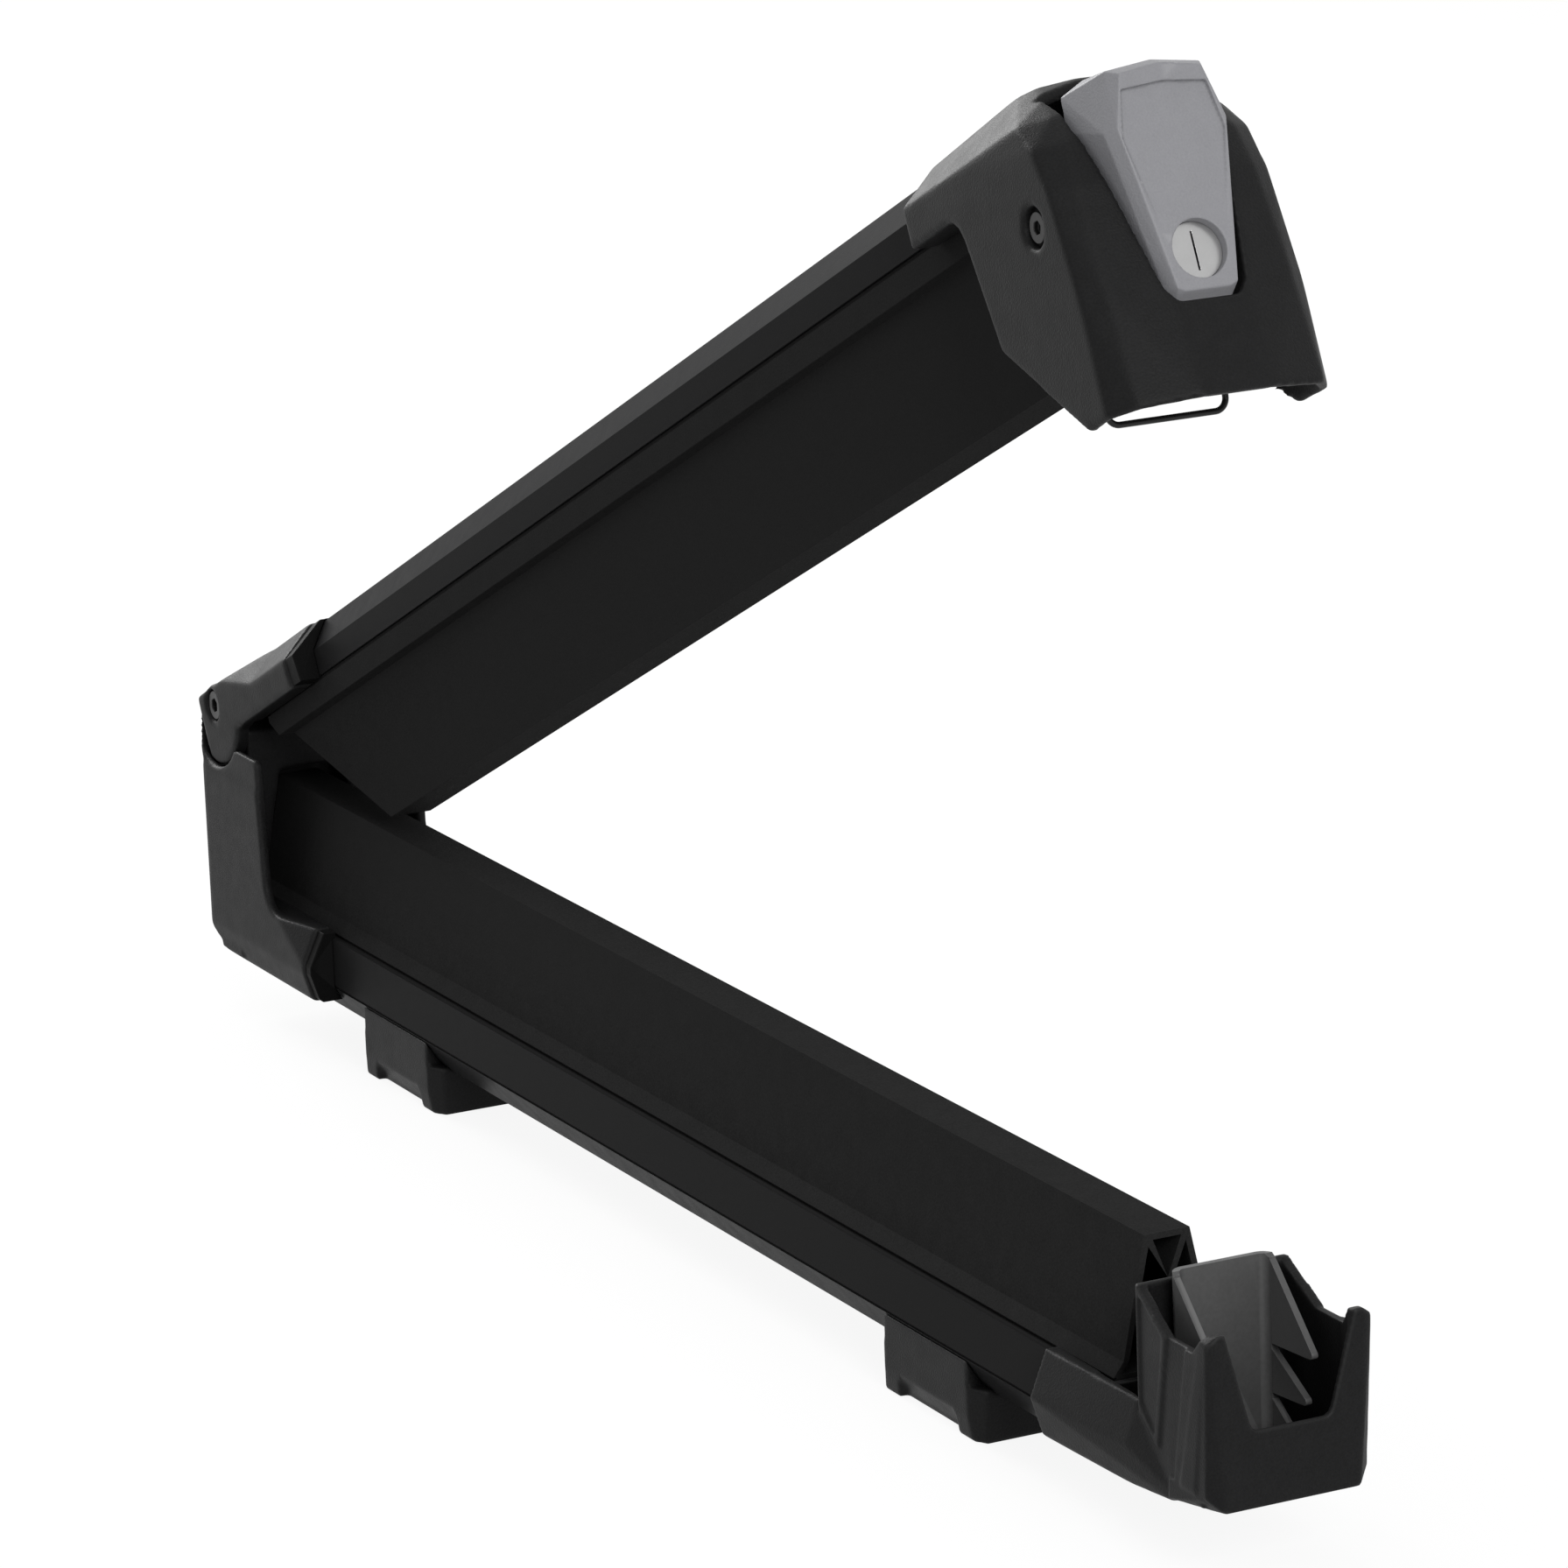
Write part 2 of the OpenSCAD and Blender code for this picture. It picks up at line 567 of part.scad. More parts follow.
module hinge_bracket() {
    block_front = 15;
    block_half = ear_half - 1;
    seat_x = base_x0 - 4;
    cheek_end = cheek_front + 15;
    difference() {
        color(black_plastic) union() {
            intersection() {
                across(-sleeve_w, sleeve_w) cheek_outline();
                hull() {
                    along_x(hinge_x - bracket_back, bracket_back + cheek_end)
                        polygon(mirrored(bracket_foot_half()));
                    along_x(hinge_x + base_sleeve_reach - 0.2, 0.2) bracket_sleeve_outline();
                }
                bracket_envelope();
            }
            intersection() {
                both_sides(sleeve_half - bracket_wall, bracket_half) cheek_outline();
                translate([hinge_x - horn_back, -bracket_half, bracket_low + 14])
                    cube([horn_back + cheek_end, 2 * bracket_half, 200]);
                bracket_envelope();
            }
            intersection() {
                difference() {
                    bracket_envelope();
                    translate([bracket_wall, 0, 0]) bracket_envelope();
                }
                across(-sleeve_half, sleeve_half) cheek_outline();
                translate([hinge_x - horn_back, -sleeve_half, bracket_low + 14]) cube([horn_back, sleeve_w, 200]);
            }
            translate([hinge_x, 0, 0]) {
                across(-block_half, block_half) union() {
                    block_outline(block_front, hinge_z - 8.5);
                    translate([0, hinge_z]) circle(r = knuckle_r);
                }
                across(-sleeve_half + 1, sleeve_half - 1) intersection() {
                    block_outline(block_front, hinge_z - 8.5);
                    translate([-50, 0]) square([200, hinge_z - ear_r - ear_play - 1]);
                }
            }
        }
        along_x(base_x0 - slip, base_sleeve_reach) translate([0, foot_h]) profile_outline(base_profile_h, slip);
        along_x(hinge_x + block_front, base_sleeve_reach) base_sleeve_bore();
        along_x(hinge_x + block_front, cheek_front + 10)
            translate([-sleeve_half + bracket_wall, base_lip_z + sleeve_rise + 4])
                square([sleeve_w - 2 * bracket_wall, 100]);
        along_x(base_x0 - pad_overhang - 1, block_front)
            translate([0, base_tip_z]) pad_outline(base_pad_root_w, base_pad_h, pocket_gap);
        across(-sleeve_half + 7, sleeve_half - 7) translate([hinge_x - bracket_back, bracket_low])
            polygon([[bracket_wall, 200], [bracket_wall, 19], [bracket_back - 6, 7], [bracket_back - 5, 7],
                     [bracket_back - 5, 200]]);
        translate([0, 0, hinge_z]) {
            for (side = [0, 1]) mirror([0, side, 0]) translate([hinge_x, 0, 0]) {
                pin_y(2 * ear_r + 2 * ear_play, ear_half - 0.4, sleeve_half + 2);
                intersection() {
                    pin_y(2 * ear_r + 2 * ear_play, -cut, ear_half);
                    translate([-50, -cut, -50]) cube([50 - knuckle_r - 0.5, ear_half + 2, 100]);
                }
                pin_y(2 * boss_r + 1, boss_y - 1, ear_half);
            }
            translate([hinge_x, 0, 0]) pin_y(bush_d, -sleeve_half, sleeve_half);
        }
        for (side = [-1, 1]) translate([0, side * port_y, base_port_z]) {
            pin_x(port_d + 0.2, hinge_x - 7, base_x0 + cut);
            pin_x(8, hinge_x - 7, seat_x);
        }
    }
}

module base_collar() {
    color(black_plastic) along_x(hinge_x + base_sleeve_reach, collar_len) difference() {
        bracket_sleeve_outline(collar_step);
        base_sleeve_bore();
    }
}

module hinge_bushes() {
    color([0.8, 0.8, 0.78]) for (side = [0, 1]) mirror([0, side, 0]) translate([hinge_x, 0, hinge_z]) difference() {
        pin_y(bush_d, 8, boss_y - 1);
        pin_y(hinge_bolt_d + 2 * bolt_play, 7, boss_y);
    }
}

module hinge_washers() {
    color([0.8, 0.8, 0.78]) for (side = [0, 1]) mirror([0, side, 0]) translate([hinge_x, 0, hinge_z]) difference() {
        pin_y(2 * knuckle_r, boss_y - 1, boss_y - 0.1);
        pin_y(hinge_bolt_d + 2 * bolt_play, boss_y - 2, boss_y + 1);
    }
}

module bracket_screws() {
    color(zinc) for (side = [-1, 1]) translate([base_x0 - 4, 0, 0]) end_screw(side * port_y, base_port_z);
}

// Front of the cup seen from above: fin edge, rear edge of the front chamfer and front face
module prow_plan(fin_x, half, ridge_x, ridge_half, front_w) {
    polygon([[fin_x, -half], [ridge_x, -ridge_half], [cup_reach, -front_w / 2],
             [cup_reach, front_w / 2], [ridge_x, ridge_half], [fin_x, half]]);
}

// Side walls of the cup seen from above, opening out from the bulkhead; lift is how far a rib stands out
module cup_wall_plan(rear, inner, lift) {
    for (side = [-1, 1]) polygon([[rear, side * (cup_rear_half - inner)], [cup_knee, side * (cup_w / 2 - 1 - inner)],
        [cup_reach - 8, side * (cup_w / 2 - 1 - inner)], [cup_reach - 8, side * (cup_w / 2 - 1 + lift)],
        [cup_knee, side * (cup_w / 2 - 1 + lift)], [rear, side * (cup_rear_half + lift)]]);
}

module cup_side_outline(rear, low) {
    polygon([[rear, low], [rear, bulkhead_z], [rear + 1.6, bulkhead_z], [cup_knee, cup_side_z],
             [cup_reach - 10.5, cup_side_z], [cup_reach - 4.5, cup_top_z - 1], [cup_reach + cut, cup_top_z],
             [cup_reach + cut, low]]);
}

module catch_cup() {
    bulk_x = 24;
    keel_x = cup_knee;
    floor_z = cup_front_z + 3.6;
    panel_half = cup_w / 2 - 1;
    end_wall = 3;
    difference() {
        color(black_plastic) translate([cup_x, 0, 0]) union() {
            hull() {
                along_x(-cup_sleeve_len, 1) base_sleeve_outline();
                along_x(bulk_x - 3, 0.5) polygon(mirrored([[0, foot_h - 0.6], [flat_half, foot_h - 0.6],
                    [27.5, base_shoulder_z - 6], [29.5, base_shoulder_z + 7], [24.6, base_lip_z + 1.2]]));
                along_x(keel_x, 0.5) polygon(mirrored([[0, cup_front_z - 4.8], [flat_half + 1, cup_front_z - 4.8],
                    [panel_half, cup_front_z - 3], [panel_half, cup_front_z]]));
            }
            hull() {
                along_x(keel_x, 0.5) polygon(mirrored([[0, cup_front_z - 4.8], [flat_half + 1, cup_front_z - 4.8],
                    [cup_w / 2, cup_front_z - 2], [cup_w / 2, cup_front_z + 4]]));
                along_x(cup_reach - 0.5, 0.5) translate([-cup_front_w / 2, cup_front_z]) square([cup_front_w, 4]);
                along_x(cup_reach - 7, 0.5) translate([-cup_w / 2, cup_front_z + 3.4]) square([cup_w, 3.4]);
            }
            intersection() {
                hull() {
                    translate([0, 0, cup_front_z - 0.4]) linear_extrude(0.4)
                        prow_plan(47.6, cup_w / 2, cup_reach - 4.4, cup_w / 2, cup_front_w);
                    translate([0, 0, cup_top_z]) linear_extrude(0.4)
                        prow_plan(58.6, cup_w / 2, cup_reach - 0.8, cup_w / 2 + 0.7, cup_front_top_w);
                }
                along_x(0, 100) polygon(mirrored([[0, cup_top_z], [cup_front_top_w / 2 - 1.4, cup_top_z],
                    [cup_w / 2 + 2, cup_top_z - 3.8], [cup_w / 2 + 2, cup_front_z + 6],
                    [cup_front_w / 2, cup_front_z], [0, cup_front_z]]));
                across(-50, 50) cup_side_outline(bulk_x, cup_front_z - 4);
            }
            intersection() {
                linear_extrude(100) cup_wall_plan(bulk_x, cup_wall, 0);
                across(-50, 50) cup_side_outline(bulk_x, cup_front_z);
            }
            intersection() {
                linear_extrude(100) cup_wall_plan(bulk_x, eps, 0.9);
                across(-50, 50) difference() {
                    polygon([[bulk_x, base_lip_z], [bulk_x, bulkhead_z], [bulk_x + 1.6, bulkhead_z],
                             [cup_knee, cup_side_z], [cup_knee - 7, 38], [bulk_x + 12, 38.6]]);
                    polygon([[bulk_x + 1.8, base_lip_z + 2], [bulk_x + 1.8, bulkhead_z - 3], [cup_knee - 3, cup_side_z - 1],
                             [cup_knee - 9.6, 40.5]]);
                }
            }
            both_sides(cup_w / 2 - 1.6, cup_w / 2 + 0.6)
                polygon([[53, cup_front_z + 4.6], [62, cup_front_z + 4.6], [69, cup_top_z - 7.6], [65.8, cup_top_z - 6.4]]);
            translate([bulk_x, -cup_rear_half, cup_front_z - 3])
                cube([cup_wall, 2 * cup_rear_half, bulkhead_z - cup_front_z + 3]);
        }
        translate([cup_x, 0, 0]) {
            along_x(-cup_sleeve_len - cut, cup_sleeve_len + cut) base_sleeve_bore();
            along_x(-eps, bulk_x) translate([-half_w + 1.1, base_lip_z]) square([profile_w - 2.2, 60]);
            along_x(end_wall, bulk_x - end_wall) translate([-half_w + 1.2, foot_h + 4])
                square([profile_w - 2.4, base_profile_h]);
            translate([0, 0, floor_z]) linear_extrude(100) polygon(
                [[bulk_x + cup_wall, -cup_rear_half + cup_wall], [cup_knee, -panel_half + cup_wall],
                 [cup_reach - 12, -panel_half + cup_wall],
                 [cup_reach - cup_wall, -cup_front_w / 2 + 1.6], [cup_reach - cup_wall, cup_front_w / 2 - 1.6],
                 [cup_reach - 12, panel_half - cup_wall], [cup_knee, panel_half - cup_wall],
                 [bulk_x + cup_wall, cup_rear_half - cup_wall]]);
            along_x(cup_reach - 8, 20) polygon(mirrored([[0, notch_z], [notch_low_w / 2 - 1.4, notch_z],
                [notch_low_w / 2, notch_z + 0.6], [notch_low_w / 2 + 1.2, notch_z + 2.4],
                [notch_top_w / 2, cup_top_z], [notch_top_w / 2, cup_top_z + 20]]));
            for (side = [-1, 1]) translate([0, side * port_y, base_port_z]) pin_x(port_d + 0.2, -cut, end_wall + cut);
            for (x = [42, 54]) translate([x, 0, cup_front_z - 2]) cylinder(d = 3, h = 20);
        }
    }
}

// Rear corners of the toothed plate's bent strip, seen from above
module ratchet_plan(half, back, r) {
    translate([back + r, -half]) square([cup_reach, 2 * half]);
    translate([back, -half + r]) square([2 * r, 2 * half - 2 * r]);
    for (side = [-1, 1]) translate([back + r, side * (half - r)]) circle(r = r);
}

// Hooked teeth that hold the bail, side view from the back wall's face
module ratchet_outline(low) {
    nose_r = 1.2;
    under = 2.7;
    translate([-ratchet_t - cut, low]) square([ratchet_t + cut + 2.4, ratchet_top_z - low - 1]);
    translate([-ratchet_t - cut, ratchet_top_z - 3]) square([ratchet_t + cut + 1, 3]);
    for (i = [0:tooth_count - 1]) {
        tip = [nose_reach - i * nose_setback, nose_z - i * tooth_pitch];
        top = i == 0 ? ratchet_top_z : nose_z - (i - 1) * tooth_pitch - under - 0.8;
        polygon([[0, top], [0.9, top - 0.1], [tip[0] + nose_r * 0.7, tip[1] + nose_r * 0.7],
                 [tip[0], tip[1] - nose_r], [tip[0] - 3, tip[1] - nose_r - 0.3], [2, tip[1] - under]]);
        translate(tip) circle(r = nose_r);
    }
}

module ratchet_plate() {
    foot_z = cup_front_z + 3.6;
    outer = ratchet_gap / 2 + ratchet_t;
    color(zinc) translate([cup_x + ratchet_x, 0, 0]) difference() {
        union() {
            intersection() {
                translate([0, 0, foot_z]) linear_extrude(100) difference() {
                    ratchet_plan(outer, -ratchet_t, 5);
                    ratchet_plan(outer - ratchet_t, 0, 5 - ratchet_t);
                }
                across(-outer - cut, outer + cut) ratchet_outline(foot_z - cut);
            }
            translate([-ratchet_t, -outer + 5, foot_z]) cube([30, 2 * outer - 10, ratchet_t]);
        }
        for (x = [42, 54]) translate([x - ratchet_x, 0, foot_z - cut]) cylinder(d = 3.4, h = 5);
    }
}

module ratchet_screws() {
    top_z = cup_front_z + 3.6 + ratchet_t;
    color(zinc) for (x = [42, 54]) translate([cup_x + x, 0, top_z]) difference() {
        union() {
            cylinder(d = 6, h = 2);
            translate([0, 0, -6]) cylinder(d = 2.9, h = 6 + eps);
        }
        translate([0, 0, 0.9]) cylinder(d = 2.6, h = 2, $fn = 6);
    }
}

module cup_screws() {
    color(zinc) translate([cup_x + 3, 0, 0]) rotate([0, 0, 180])
        for (side = [-1, 1]) end_screw(side * port_y, base_port_z);
}

module foot() {
    top_z = foot_h + foot_side_h;
    side_half = foot_len / 2;
    core_half = foot_core_len / 2;
    scoop_half = foot_scoop_len / 2;
    lean = 1;
    difference() {
        intersection() {
            linear_extrude(top_z) polygon([[-core_half, -foot_core_w / 2], [-side_half, -half_w],
                [side_half, -half_w], [core_half, -foot_core_w / 2], [core_half, foot_core_w / 2],
                [side_half, half_w], [-side_half, half_w], [-core_half, foot_core_w / 2]]);
            along_x(-core_half, foot_core_len) polygon(mirrored([[0, 0], [half_w - lean, 0],
                [half_w, foot_h / 2], [half_w, top_z]]));
        }
        along_x(-core_half - cut, foot_core_len + 2 * cut)
            translate([0, foot_h]) profile_outline(base_profile_h, eps * 2);
        for (side = [0, 1]) mirror([side, 0, 0])
            translate([side_half, -half_w - cut, foot_h + 1]) cube([core_half, profile_w + 2 * cut, base_profile_h]);
        for (side = [0, 1]) mirror([0, side, 0]) hull() {
            along_x(-scoop_half, foot_scoop_len) translate([half_w, foot_h / 2]) square([cut, eps]);
            along_x(-scoop_half - 2.4, foot_scoop_len + 4.8)
                polygon([[half_w - 4, -cut], [half_w - 4, 1.5], [half_w + cut, 1.5], [half_w + cut, -cut]]);
        }
        translate([0, 0, -cut]) cylinder(d = foot_hole_d, h = foot_h + 2 * cut);
        for (side = [-1, 1]) translate([side * 20, 0, -cut]) cylinder(d = 12, h = foot_h - 3);
    }
}

module foot_rear() {
    color(black_plastic) translate([-foot_spacing / 2, 0, 0]) foot();
}

module foot_front() {
    color(black_plastic) translate([foot_spacing / 2, 0, 0]) foot();
}

module slot_nuts() {
    nut_w = nut_channel_w - 0.5;
    color(zinc) for (side = [-1, 1]) translate([side * foot_spacing / 2, 0, foot_h + profile_wall]) difference() {
        translate([-nut_w / 2, -nut_w / 2, 0]) cube([nut_w, nut_w, nut_channel_h - 1]);
        translate([0, 0, -cut]) cylinder(d = foot_hole_d - 1, h = nut_channel_h + cut);
    }
}

module arm_bracket() {
    wall_u = arm_profile_start - 4.2;
    inner_top = plate_top - top_plate;
    color(black_plastic) on_arm() difference() {
        intersection() {
            across(-sleeve_half, sleeve_half) union() {
                circle(r = ear_r);
                translate([0, side_edge_w - 0.5]) square([arm_sleeve_reach + cut, ear_r + 10]);
            }
            translate([0, 0, -50]) linear_extrude(100) rear_plan(ear_back, sleeve_half, 200);
            union() {
                along_x(0, arm_sleeve_reach) polygon(mirrored(arm_sleeve_half(0)));
                hull() {
                    along_x(-ear_r - cut, ear_r + cut + 12) polygon(mirrored(knuckle_half()));
                    along_x(42, 0.2) polygon(mirrored(arm_sleeve_half(0)));
                }
                both_sides(ear_half - cut, sleeve_half - 1.2) union() {
                    translate([-ear_r - cut, -ear_r - cut]) square([2 * ear_r + cut, ear_r + cut + arm_shoulder]);
                    circle(r = boss_r);
                }
            }
        }
        difference() {
            along_x(-ear_r - 2 * cut, ear_r + 2 * cut + wall_u) polygon(mirrored([[0, inner_top],
                [flat_half + 5, inner_top], [ear_half, inner_top - 3], [ear_half, -ear_r - 2 * cut],
                [0, -ear_r - 2 * cut]]));
            both_sides(boss_y, ear_half + cut) circle(r = boss_r);
        }
        along_x(arm_profile_start, arm_sleeve_reach) arm_sleeve_bore();
        translate([wall_u - cut, -half_w, -ear_r]) cube([40, profile_w, ear_r + arm_under + 0.5]);
        pin_y(hinge_bolt_d + 0.1, -sleeve_half - cut, sleeve_half + cut);
        for (side = [0, 1]) mirror([0, side, 0]) pin_y(bolt_recess_d, sleeve_half - 4.4, sleeve_half + cut);
        for (side = [-1, 1]) translate([0, side * arm_port_y, arm_port_w])
            pin_x(port_d + 0.2, wall_u - cut, arm_profile_start + cut);
    }
}

module arm_collar() {
    color(black_plastic) on_arm() along_x(arm_sleeve_reach, collar_len + 3) difference() {
        polygon(mirrored(arm_sleeve_half(collar_step)));
        arm_sleeve_bore();
    }
}

module hinge_bolt() {
    head_y = sleeve_half - 4.4;
    color(zinc) on_arm() difference() {
        union() {
            pin_y(bolt_head_d, -head_y - 3, -head_y);
            pin_y(hinge_bolt_d, -head_y - eps, head_y);
        }
        pin_y(5.6, -head_y - 3 - cut, -head_y - 0.8, $fn = 6);
        pin_y(5, head_y - 15, head_y + cut);
    }
}

module hinge_nut() {
    head_y = sleeve_half - 4.4;
    color(zinc) on_arm() difference() {
        union() {
            pin_y(bolt_head_d, head_y, head_y + 3);
            pin_y(4.9, head_y - 13, head_y + eps);
        }
        pin_y(5.6, head_y + 0.8, head_y + 3 + cut, $fn = 6);
    }
}

module arm_bracket_screws() {
    color(zinc) on_arm() for (side = [-1, 1]) translate([arm_profile_start - 4.2, 0, 0])
        end_screw(side * arm_port_y, arm_port_w);
}

// Levels of the housing: height, rear, end of the flank, front corner, front centre (from the lock pin),
// half width of the flank and of the front corner
housing_levels = [
    [-housing_drop, 3.4, 17.5, 26.5, 32.4, housing_w / 2 + 1.4, 31.4],
    [-60, -39, 18.2, 23.4, 26.6, housing_w / 2 + 1.4, 31],
    [-27, -45, 14.5, 19, 22.5, housing_w / 2 + 1.2, 30],
    [-13, -45, 10, 15.5, 19.2, housing_w / 2 + 0.8, 28.6],
    [-3, -45, 1, 9.4, 14.5, housing_w / 2 - 0.6, 27],
    [6, -38, -10, 0, 7, 27, 22.5],
    [plate_top + 2.4, -26, -22, -14, -8, 19.5, 17]];

// One level cut out of the housing's form, drawn in by the wall
module housing_slice(level, inset) {
    flank = level[5] - inset;
    corner = level[6] - inset;
    rear = min(flank, housing_w / 2 - inset);
    polygon([[level[1] + inset, -rear], [level[2] - inset * 0.4, -flank], [level[3] - inset * 0.7, -corner],
             [level[4] - inset, -corner * 0.4], [level[4] - inset, corner * 0.4],
             [level[3] - inset * 0.7, corner], [level[2] - inset * 0.4, flank], [level[1] + inset, rear]]);
}

module housing_form(inset) {
    drop = inset > 0 ? inset : 0;
    hull() for (level = housing_levels)
        translate([lock_u, 0, level[0] > 0 ? level[0] - drop - 0.2 : level[0] - (level[0] < -90 ? drop : 0)])
            linear_extrude(0.2) housing_slice(level, inset);
}

// Side outline of the housing: neck, rounded inner corner, sloping rear edge
module housing_side() {
    low_w = side_edge_w - 1.2;
    translate([lock_u, 0]) polygon([
        [-neck_reach, 40], [-neck_reach, low_w], [-55, low_w - 0.6], [-50.5, low_w - 1.8], [-47.6, low_w - 4.4],
        [-45.8, low_w - 8.4], [-45, low_w - 12.4], [-39, -60], [3.4, -housing_drop], [60, -housing_drop], [60, 40]]);
}

// Half outline of the push button seen from the front
function button_half(grow) =
    [[0, 8 + grow], [13.5 + grow, 7.5 + grow], [22 + grow, 3], [22.8 + grow, -8], [12.8 + grow, -62],
     [9.6 + grow, -66 - grow], [0, -66 - grow]];

module lock_housing() {
    wall_u = arm_end;
    boss_y = housing_w / 2 - housing_wall - 4;
    color(black_plastic) on_arm() difference() {
        intersection() {
            hull() {
                housing_form(0);
                along_x(neck_u, 0.4) polygon(mirrored([[0, plate_top], [flat_half + 3, plate_top],
                    [sleeve_half, arm_shoulder], [sleeve_half - 1, -housing_drop]]));
            }
            across(-housing_w, housing_w) housing_side();
        }
        difference() {
            housing_form(housing_wall);
            for (side = [0, 1]) mirror([0, side, 0]) translate([lock_u, 0, -lock_drop])
                pin_y(lock_recess_d + 3.6, boss_y, housing_w / 2);
            translate([wall_u, -housing_w / 2, arm_under - 1])
                cube([3, housing_w, plate_top - arm_under + 1]);
        }
        translate([lock_u - 40, -housing_w / 2 + housing_wall + 2, -housing_drop - cut])
            cube([48, housing_w - 2 * housing_wall - 4, 33 + cut]);
        along_x(neck_u - cut, arm_end - neck_u + cut + slip) arm_sleeve_bore();
        translate([neck_u - cut, -half_w - slip, -50]) cube([arm_end - neck_u + cut, profile_w + 2 * slip, 50 + arm_under]);
        along_x(lock_u - 5, 60) polygon(mirrored(concat([[0, 40], [22.8 + button_play, 40]],
            [for (i = [3:6]) button_half(button_play)[i]])));
        pin_y_at(lock_u, -lock_drop, lock_pin_d + 0.1, housing_w);
        for (side = [0, 1]) mirror([0, side, 0]) translate([lock_u, 0, -lock_drop])
            pin_y(lock_recess_d, housing_w / 2 - 3, housing_w / 2 + cut);
        for (side = [-1, 1]) translate([0, side * arm_port_y, arm_port_w])
            pin_x(port_d + 0.2, wall_u - cut, wall_u + 3 + cut);
    }
}

// Through bore along Y, centred on the arm
module pin_y_at(u, w, d, len) {
    translate([u, 0, w]) pin_y(d, -len / 2 - cut, len / 2 + cut);
}

module housing_screws() {
    color(zinc) on_arm() translate([arm_end + 3, 0, 0]) rotate([0, 0, 180])
        for (side = [-1, 1]) end_screw(side * arm_port_y, arm_port_w);
}

module lock_pin() {
    head_y = housing_w / 2 - 3;
    color(zinc) on_arm() translate([lock_u, 0, -lock_drop]) difference() {
        union() {
            pin_y(lock_head_d, -head_y - 2.4, -head_y);
            pin_y(lock_pin_d, -head_y - eps, head_y);
        }
        pin_y(4.4, -head_y - 2.4 - cut, -head_y - 0.8, $fn = 6);
        pin_y(3, head_y - 12, head_y + cut);
    }
}

module lock_pin_nut() {
    head_y = housing_w / 2 - 3;
    color(zinc) on_arm() translate([lock_u, 0, -lock_drop]) difference() {
        union() {
            pin_y(lock_head_d, head_y, head_y + 2.4);
            pin_y(2.9, head_y - 10, head_y + eps);
        }
        pin_y(4.4, head_y + 0.8, head_y + 2.4 + cut, $fn = 6);
    }
}

// Leaf spring between the end wall and the back of the push button
module return_spring() {
    leaf_t = 0.8;
    leaf_half = 5;
    foot_u = arm_end + 3;
    tip_u = lock_u + button_face - button_wall - 1.2;
    color(steel) on_arm() across(-leaf_half, leaf_half) polygon([
        [foot_u, -3], [foot_u, arm_under], [foot_u + leaf_t, arm_under], [foot_u + leaf_t, -3 - leaf_t],
        [tip_u - 9, -3 - leaf_t], [tip_u, -10], [tip_u, -10 + leaf_t * 1.2], [tip_u - 8.7, -3]]);
}

// Front of the push button, drawn in by inset all round
function button_front_half(inset) =
    [[0, 6 - inset], [15.5 - inset, 4 - inset], [20 - inset, -14], [11.5 - inset * 0.8, -63],
     [8.9 - inset * 0.8, -66 + inset], [0, -66 + inset]];

module button_form(wall) {
    face = lock_u + button_face;
    back = lock_u + 8;
    hull() {
        along_x(back - (wall > 0 ? cut : 0), 0.2) polygon(mirrored(button_half(-wall)));
        translate([face - 5 - wall, 0, 0]) rotate([0, 2.4, 0])
            along_x(0, 0.2) polygon(mirrored(button_front_half(wall - 0.6)));
        translate([face - 0.2 - wall, 0, 0]) rotate([0, 2.4, 0])
            along_x(0, 0.2) polygon(mirrored(button_front_half(wall + 1.8)));
    }
}

module push_button() {
    lug_in = 12;
    lug_out = 18.6;
    key_face = lock_u + button_face - 2.4 - key_recess;
    color(button_grey) on_arm() difference() {
        union() {
            difference() {
                button_form(0);
                button_form(button_wall);
            }
            intersection() {
                button_form(0);
                union() {
                    translate([0, 0, -key_drop]) pin_x(key_d + 5, lock_u + 6, lock_u + 50);
                    both_sides(lug_in, lug_out) translate([lock_u, -72]) square([20, 80]);
                }
            }
            both_sides(lug_in, lug_out) union() {
                translate([lock_u, -lock_drop]) circle(r = 6);
                polygon([[lock_u - 4, -lock_drop + 4], [lock_u + 9, -lock_drop + 14], [lock_u + 9, -56],
                         [lock_u - 6, -54], [lock_u - 9, -51], [lock_u - 9, -46], [lock_u - 6, -lock_drop]]);
            }
        }
        pin_y_at(lock_u, -lock_drop, lock_pin_d + 2 * bolt_play, housing_w);
        translate([0, 0, -key_drop]) {
            pin_x(key_d + 2 * key_play, key_face - 2.6, lock_u + 50);
            pin_x(barrel_d + 0.1, lock_u - 10, key_face);
        }
        pin_y_at(lock_u - 5, -50, bail_d + 0.1, 60);
        translate([lock_u + button_face - 1.5, 0, 0]) rotate([0, 0.6, 0]) along_x(0, 8)
            polygon(mirrored([[0, -1.2], [14.3, -2.5], [17.2, -17], [11.4, -46], [0, -46]]));
    }
}

module lock_barrel() {
    key_face = lock_u + button_face - 2.4 - key_recess;
    color(zinc) on_arm() translate([0, 0, -key_drop]) difference() {
        pin_x(barrel_d, lock_u + 4, key_face - 2.6);
        pin_x(core_d + 2 * key_play, lock_u, key_face);
    }
}

